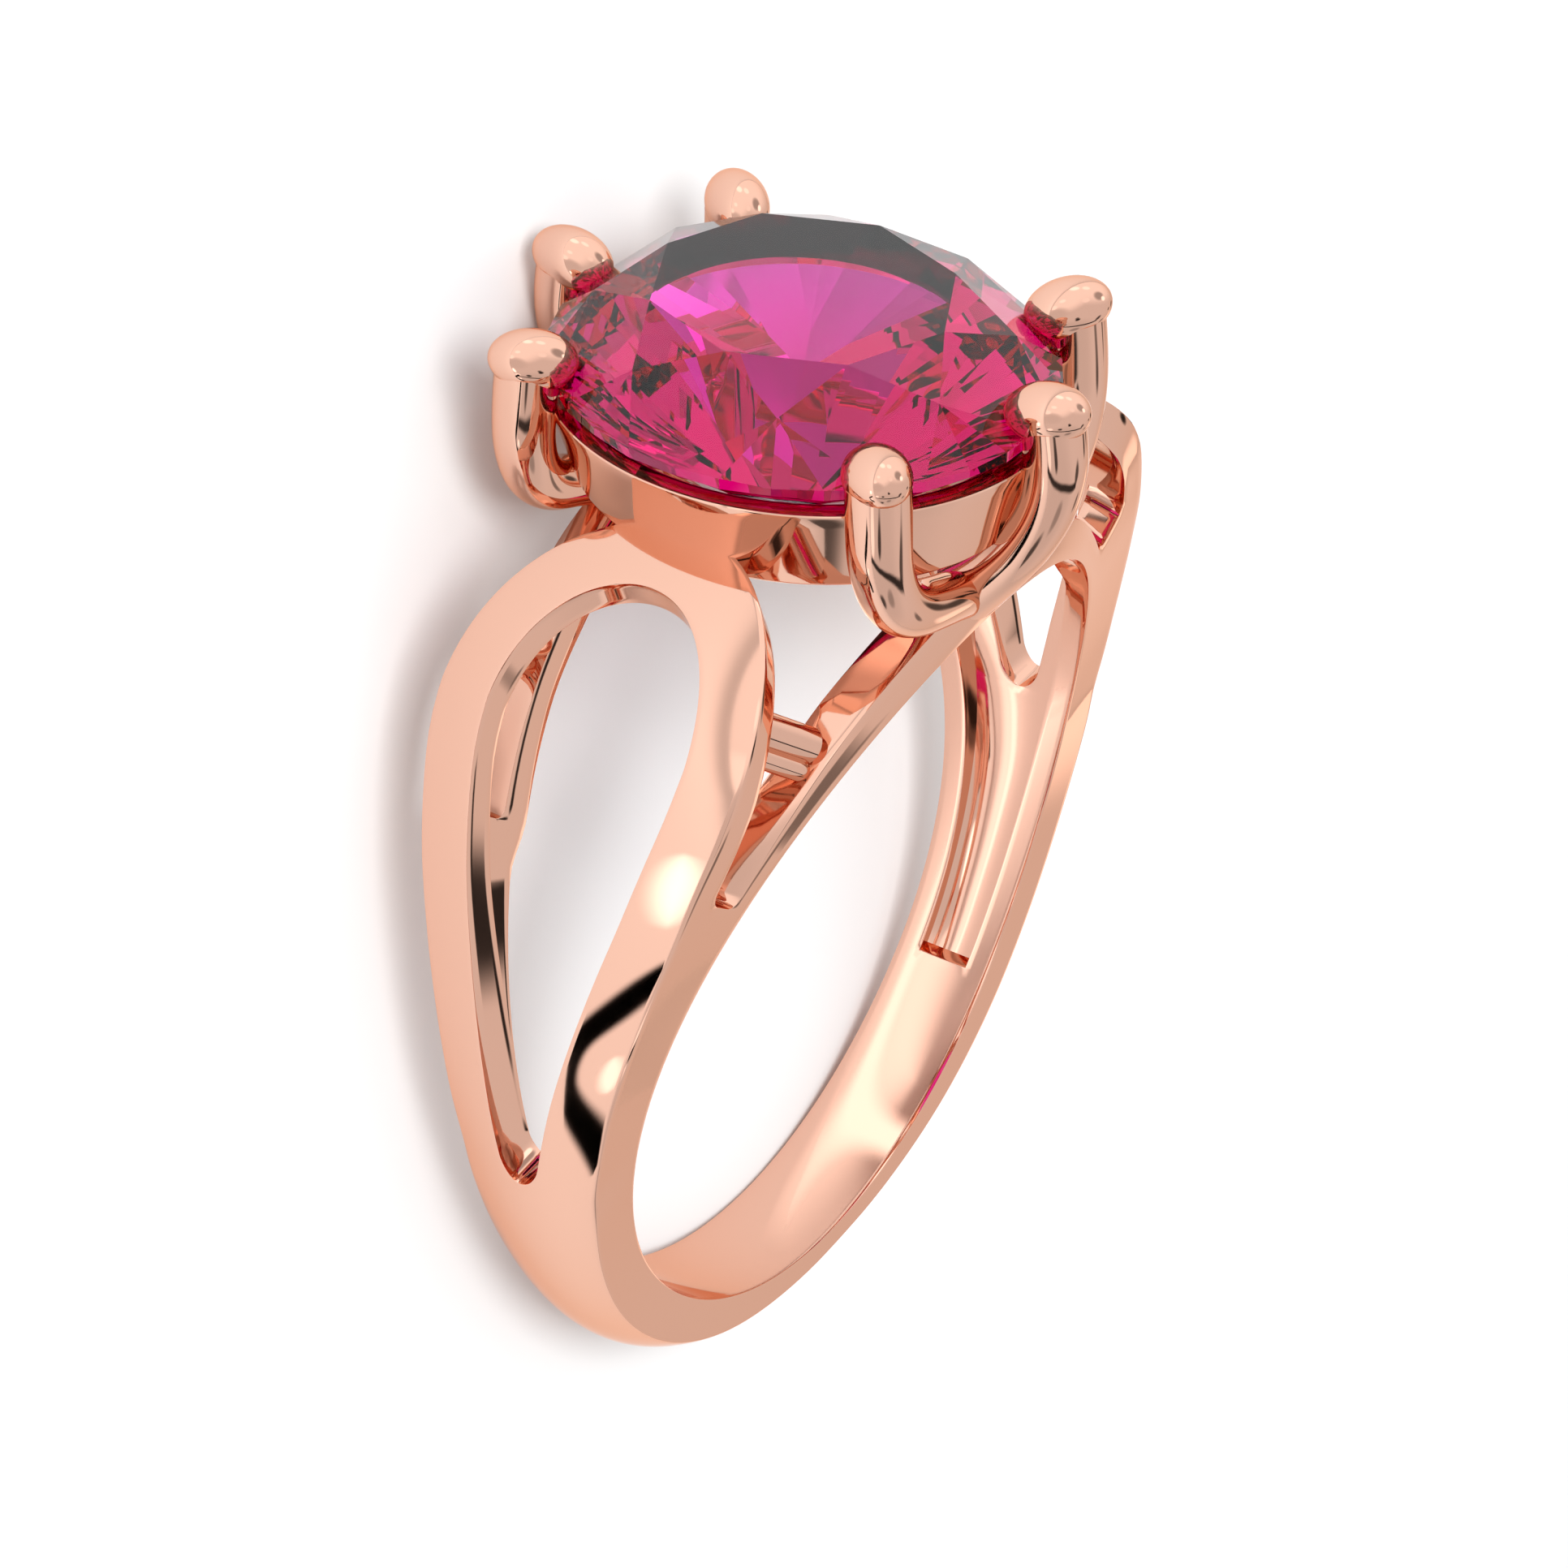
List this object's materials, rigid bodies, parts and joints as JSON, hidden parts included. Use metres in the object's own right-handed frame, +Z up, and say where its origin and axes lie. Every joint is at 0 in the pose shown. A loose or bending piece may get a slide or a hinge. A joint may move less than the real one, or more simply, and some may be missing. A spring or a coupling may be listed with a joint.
{
  "type": "gemstone ring",
  "caption": "Rose gold ring with a split, pierced shank and an oval faceted ruby held by claws over an oval basket, lying on its side.",
  "frame": {"origin": "middle of the outline on the surface that the ring lies on", "axes": "+Z up from the surface, -Y towards the head and its stone, X across the shank"},
  "size_m": [0.0204, 0.0246, 0.0123],
  "materials": {
    "ring_mount": "polished rose gold",
    "center_stone": "faceted ruby"
  },
  "bodies": {
    "root": {"ring_mount": "ring_mount", "center_stone": "center_stone"}
  },
  "joints": []
}
